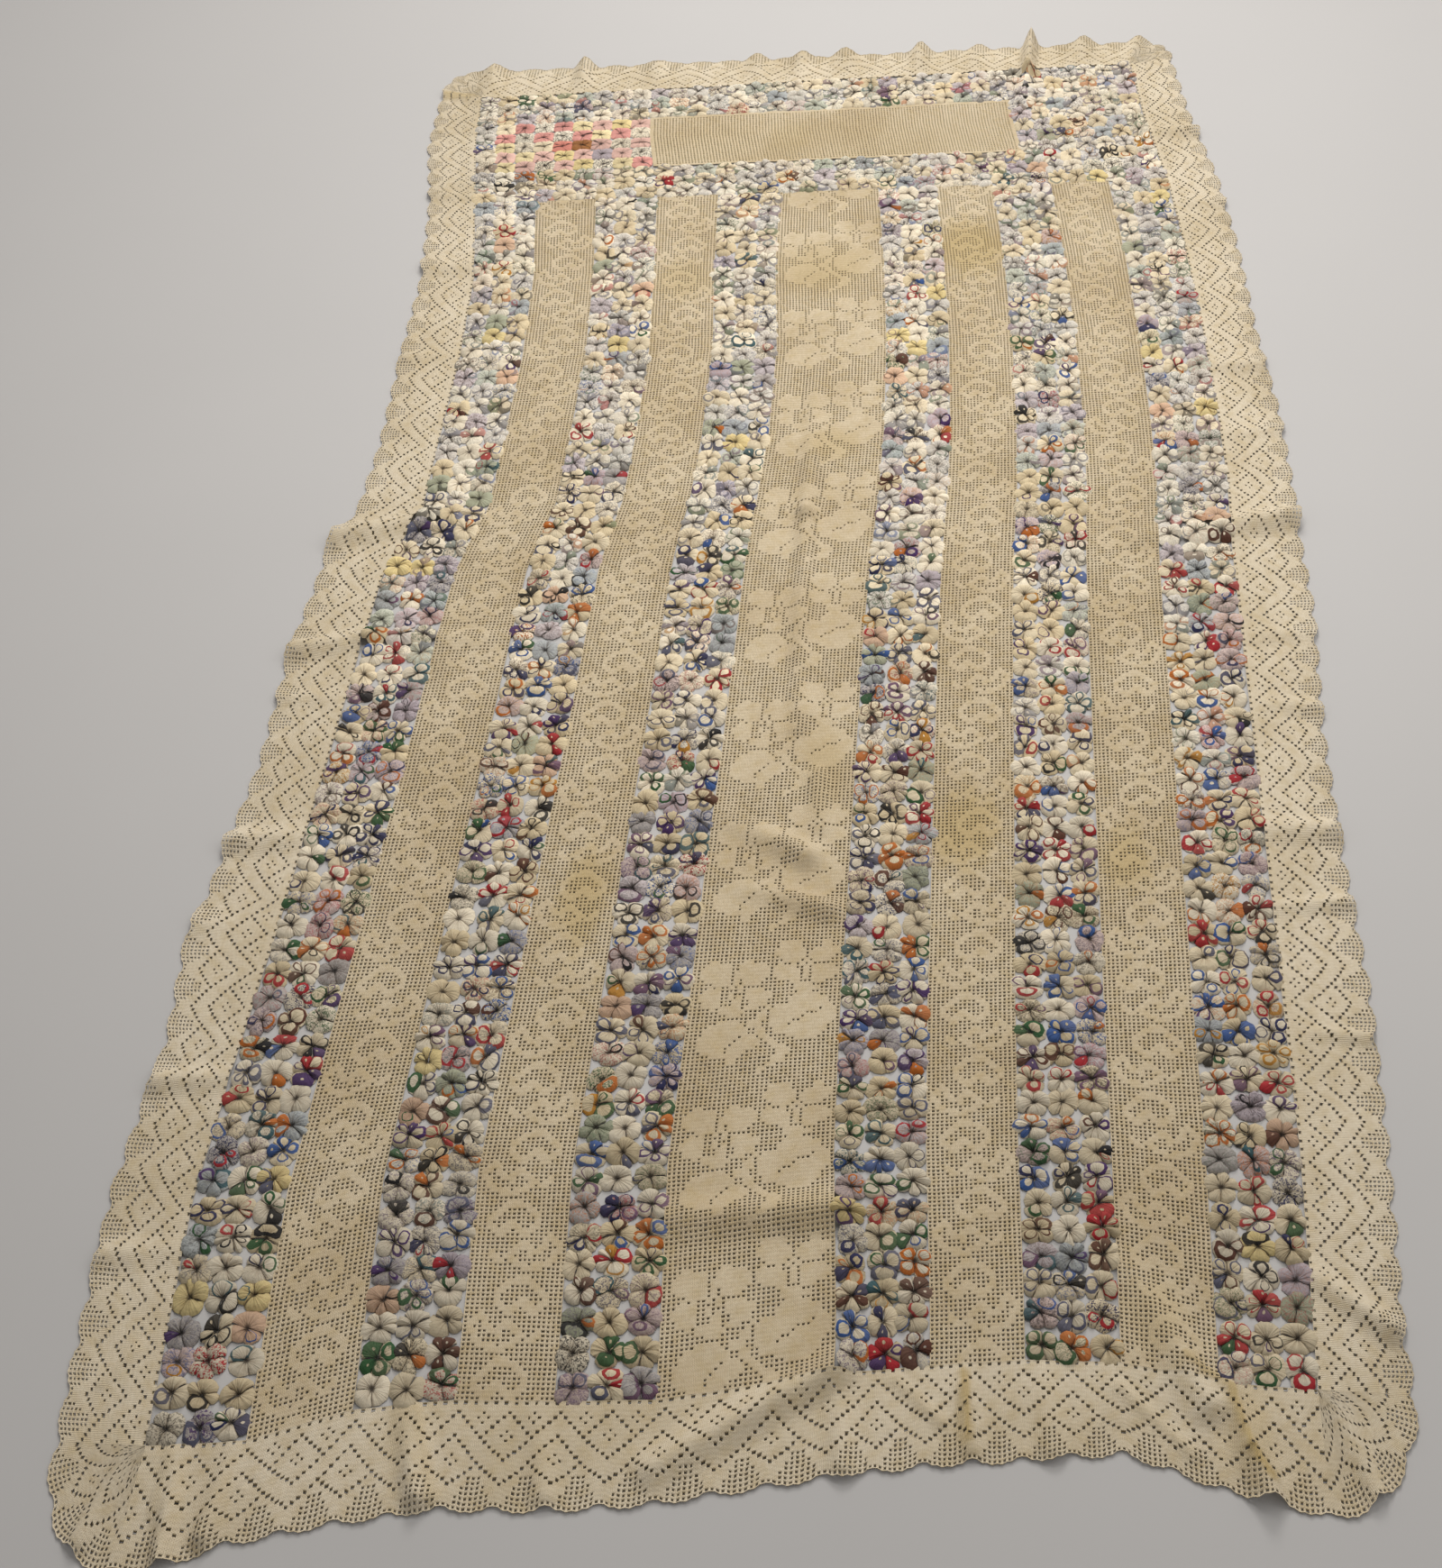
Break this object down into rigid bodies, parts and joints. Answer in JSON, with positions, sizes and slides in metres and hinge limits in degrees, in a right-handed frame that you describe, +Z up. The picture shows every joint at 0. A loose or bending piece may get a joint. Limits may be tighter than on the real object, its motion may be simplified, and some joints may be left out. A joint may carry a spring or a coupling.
{
  "type": "crochet and patchwork bedspread",
  "caption": "Long cotton bedspread of gathered fabric puffs sewn in strips, with filet crochet panels between them and a scalloped crochet lace edging, laid out flat.",
  "frame": {"origin": "centre of the laid-out cloth, on the surface it lies on", "axes": "+Y along the cloth towards the head, with its wide insert; +X to the right seen from the foot; +Z up"},
  "size_m": [1.3748, 2.7119, 0.0289],
  "materials": {
    "puffs": "small cotton prints, mostly cream, gathered into flat round puffs",
    "filet": "ecru cotton filet crochet, matt, with faint brown stains",
    "lace": "cream cotton crochet lace, matt"
  },
  "bodies": {
    "root": {"puff_strip_1": "puffs", "puff_strip_2": "puffs", "puff_strip_3": "puffs", "puff_strip_4": "puffs", "puff_strip_5": "puffs", "puff_strip_6": "puffs", "puff_band_head": "puffs", "puff_band_under": "puffs", "puff_block_left": "puffs", "puff_block_right": "puffs", "filet_insert": "filet", "filet_panel_1": "filet", "filet_panel_2": "filet", "filet_panel_3": "filet", "filet_panel_4": "filet", "filet_panel_5": "filet", "lace_left": "lace", "lace_right": "lace", "lace_head": "lace", "lace_foot": "lace"}
  },
  "joints": []
}
